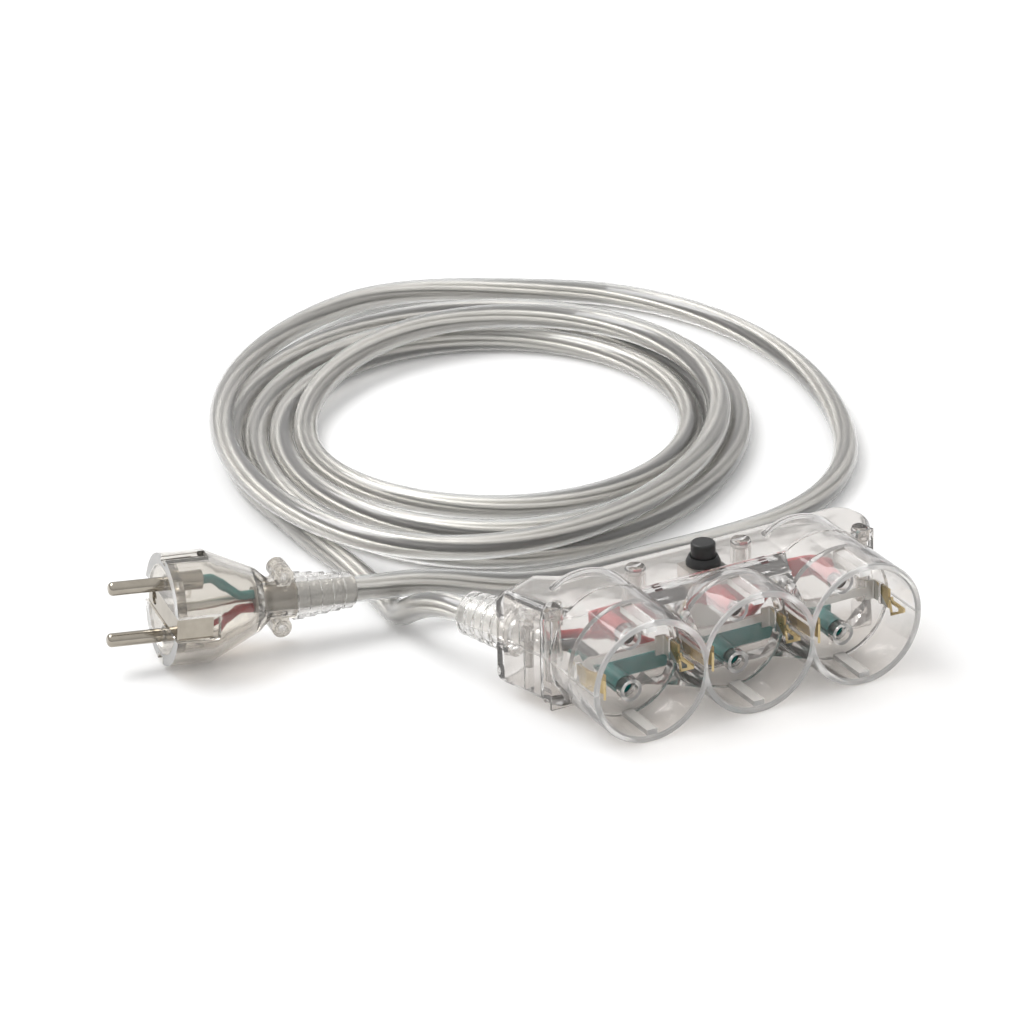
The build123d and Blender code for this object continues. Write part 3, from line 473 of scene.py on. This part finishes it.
# %% [markdown]
# ## Smooth skins over the CAD nodes
# A CAD node comes in as loose triangles with flat shading, and through clear plastic every facet would
# show. So each node gets a skin: a copy of its mesh whose doubled corners are merged, shaded smooth except
# across real edges. The skin stands for the node and carries the finish.

# %% How a skin is made
same_corner = 0.000002
sharp_from = math.radians(28)


def skin(name, finish, body):
    """Merged and smoothed copy of a CAD node with its finish."""
    bpy.ops.object.select_all(action="DESELECT")
    piece = bpy.data.objects.new(name + "_skin", nodes[name].data.copy())
    bpy.context.scene.collection.objects.link(piece)
    piece.select_set(True)
    bpy.context.view_layer.objects.active = piece
    bpy.ops.mesh.customdata_custom_splitnormals_clear()
    bpy.ops.object.mode_set(mode="EDIT")
    bpy.ops.mesh.select_all(action="SELECT")
    bpy.ops.mesh.remove_doubles(threshold=same_corner)
    bpy.ops.object.mode_set(mode="OBJECT")
    bpy.ops.object.shade_smooth_by_angle(angle=sharp_from)
    piece.data.materials.clear()
    piece.data.materials.append(finish)
    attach(piece, body)
    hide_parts(name)
    return piece


# %% [markdown]
# The finish follows from what a node is. The screws' heads don't show as metal, so they are clear like the
# boots. The cord's end in the plug is grey, because the cores show through its boot. It takes the grey strand
# finish with its painted shade.


# %% Finish of each node
def finish_of(name):
    """The finish that a CAD node has on the real object."""
    if name.endswith(("screws", "_boot")):
        return clear_boot
    if name.startswith("socket_floor") or name == "cord_grip":
        return clear_floor
    if name in ("earth_rail", "cut_out_blades"):
        return zinc
    if name.startswith("earth_clip"):
        return brass
    if name.startswith(("plug_pin", "plug_earth")):
        return nickel
    if name == "plug_cord_end":
        return shaded_tinned
    if name == "block_cord_end":
        return clear_sheath
    if name in ("line_rail", "wire_line_in", "wire_line_out", "plug_wire_line"):
        return red_sleeve
    if name in ("neutral_rail", "wire_neutral", "plug_wire_neutral"):
        return teal_sleeve
    if name == "wire_earth":
        return black_sleeve
    if name == "plug_wire_earth":
        return tinned
    if name in ("reset_button", "cut_out_nut"):
        return black_grained
    if name == "cut_out_case":
        return milky
    if name.startswith("plug_shell") or name == "plug_face":
        return clear_plug
    return clear_shell


skins = {}
for name in sorted(nodes):
    if name not in CORD_NODES:
        skins[name] = skin(name, finish_of(name), "button" if name == "reset_button" else "lead")
print("skins:", len(skins))

# %% Finish of the cord and its cores
cord.data.materials.append(clear_sheath)
# Bright strands alternate with strands whose grey is painted shade.
strand_finishes = [shaded_tinned, tinned, tinned, shaded_tinned, tinned, tinned, dark_tinned]
for strand, finish in zip(cores, strand_finishes):
    strand.data.materials.append(finish)
print("cord:", clear_sheath.name, "cores:", [finish.name for finish in strand_finishes])

# %% Zinc-plated backs of the earth clips
clip_plated_from = -13.6 * MM
for name, piece in skins.items():
    if name.startswith("earth_clip"):
        piece.data.materials.append(zinc)
        plated = [face for face in piece.data.polygons if face.center.y > clip_plated_from]
        for face in plated:
            face.material_index = 1
        print("zinc on the back of", name, len(plated), "faces")

# %% [markdown]
# ## Painted highlights on the edges
# Where a clear moulding ends, its rounded edge gathers light from the whole wall and looks white. That
# highlight is painted into those faces, as a finish of their own that scatters more than the walls do: the
# rims of the wells, the guide ribs in them, the rings round the pin holes and the rim of the plug. They are
# picked by their place.


# %% How an edge gets its painted highlight
def paint_edge_highlight(name, is_edge):
    """Gives the faces whose middle is_edge picks, in millimetres, the painted highlight finish."""
    mesh = skins[name].data
    mesh.materials.append(painted_edge_highlight)
    picked = [face for face in mesh.polygons if is_edge(face.center / MM)]
    for face in picked:
        face.material_index = len(mesh.materials) - 1
    print("white edge on", name, len(picked), "faces")


# %% Rims, ribs and collars of the wells
axis_height = 21.7
pitch = 41.0
rim_depth = 0.75
rib_half_width = 2.05
rib_inside = 17.0
rib_outside = 19.5
rib_end = -13.3
collar_front = -16.5
collar_slack = 0.05


def on_rim_or_rib(spot):
    """Rim of a well, or one of its guide ribs."""
    if spot.y < well_mouth + rim_depth:
        return True
    off_axis = (spot.x + 1.5 * pitch) % pitch - pitch / 2
    off_height = abs(spot.z - axis_height)
    return abs(off_axis) < rib_half_width and rib_inside < off_height < rib_outside and spot.y < rib_end


def on_collar(spot):
    """Front ring of a pin hole's collar."""
    return spot.y < collar_front + collar_slack


# The rims, ribs and collars get the painted edge highlight.
for half in ("housing_top", "housing_base"):
    paint_edge_highlight(half, on_rim_or_rib)
for place in ("left", "middle", "right"):
    paint_edge_highlight(f"socket_floor_{place}", on_collar)

# %% Rim of the plug
plug_heading = math.radians(171.0)
plug_lift = math.radians(4.0)
plug_length = 68.0
plug_rim_slack = 0.1
plug_way = Vector((math.cos(plug_heading), math.sin(plug_heading), math.tan(plug_lift))).normalized()
plug_front = Vector(plug_route[0]) + plug_length * plug_way


def on_plug_rim(spot):
    """Front rim of the plug's shell."""
    return (spot - plug_front).dot(plug_way) > -plug_rim_slack


for half in ("plug_shell_near", "plug_shell_far"):
    paint_edge_highlight(half, on_plug_rim)

# %% Finish
bpy.context.view_layer.update()
